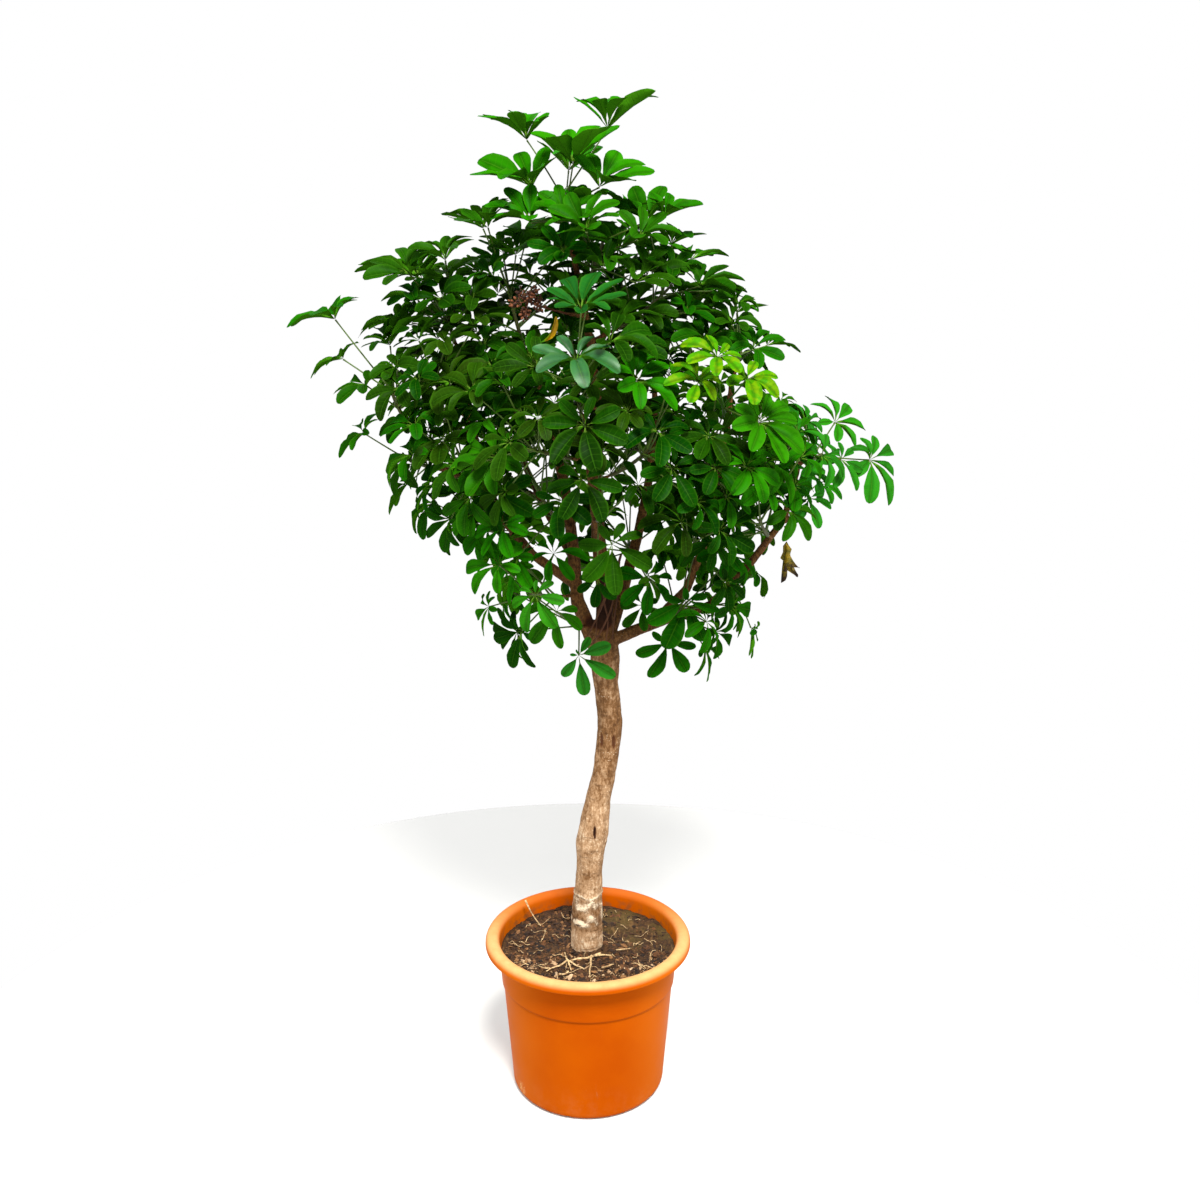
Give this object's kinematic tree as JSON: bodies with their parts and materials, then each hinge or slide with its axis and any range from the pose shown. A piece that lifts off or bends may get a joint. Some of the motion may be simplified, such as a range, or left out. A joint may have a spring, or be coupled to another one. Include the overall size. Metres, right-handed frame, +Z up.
{
  "type": "potted umbrella plant",
  "caption": "Umbrella plant grown as a small tree: a bare trunk with a leafy crown of stalked leaflet rounds, standing in a round plastic nursery pot filled with soil.",
  "frame": {"origin": "centre of the pot's flat underside", "axes": "+Z up along the plant, -Y towards the front as pictured, +X to the right seen from the front"},
  "size_m": [0.9438, 0.6327, 1.6196],
  "materials": {
    "pot_plastic": "satin moulded terracotta-orange plastic",
    "soil": "damp coarse potting mix",
    "bark": "rough tan bark",
    "leaf": "glossy dark green",
    "young_leaf": "glossy yellow-green",
    "dried": "dry brown",
    "dead_leaf": "dry yellow-brown",
    "surface_root": "pale dry root"
  },
  "bodies": {
    "root": {"dead_leaf": "dead_leaf", "dried_spray": "dried", "pot": "pot_plastic", "shoot_backHigh": "leaf", "shoot_backLeft": "leaf", "shoot_backLeftLow": "leaf", "shoot_backLow": "leaf", "shoot_backMiddle": "leaf", "shoot_backRight": "leaf", "shoot_backTop": "leaf", "shoot_farLeftBack": "leaf", "shoot_farLeftTop": "leaf", "shoot_frontInner": "leaf", "shoot_frontLeft": "leaf", "shoot_frontLow": "leaf", "shoot_frontRight": "leaf", "shoot_frontTop": "leaf", "shoot_left": "leaf", "shoot_leftFront": "leaf", "shoot_leftLow": "leaf", "shoot_leftMiddle": "leaf", "shoot_lowFront": "leaf", "shoot_lowFrontRight": "leaf", "shoot_lowLeft": "leaf", "shoot_lowLeftBack": "leaf", "shoot_lowRight": "leaf", "shoot_rightBack": "leaf", "shoot_rightBackEnd": "leaf", "shoot_rightEnd": "leaf", "shoot_rightEndLow": "leaf", "shoot_rightFront": "leaf", "shoot_rightHigh": "leaf", "shoot_rightLow": "leaf", "shoot_rightMiddle": "leaf", "shoot_rightTop": "leaf", "shoot_top": "leaf", "shoot_topBack": "leaf", "shoot_topLeft": "leaf", "shoot_topRight": "leaf", "shoot_youngRight": "young_leaf", "soil": "soil", "surface_roots": "surface_root", "trunk": "bark"}
  },
  "joints": []
}
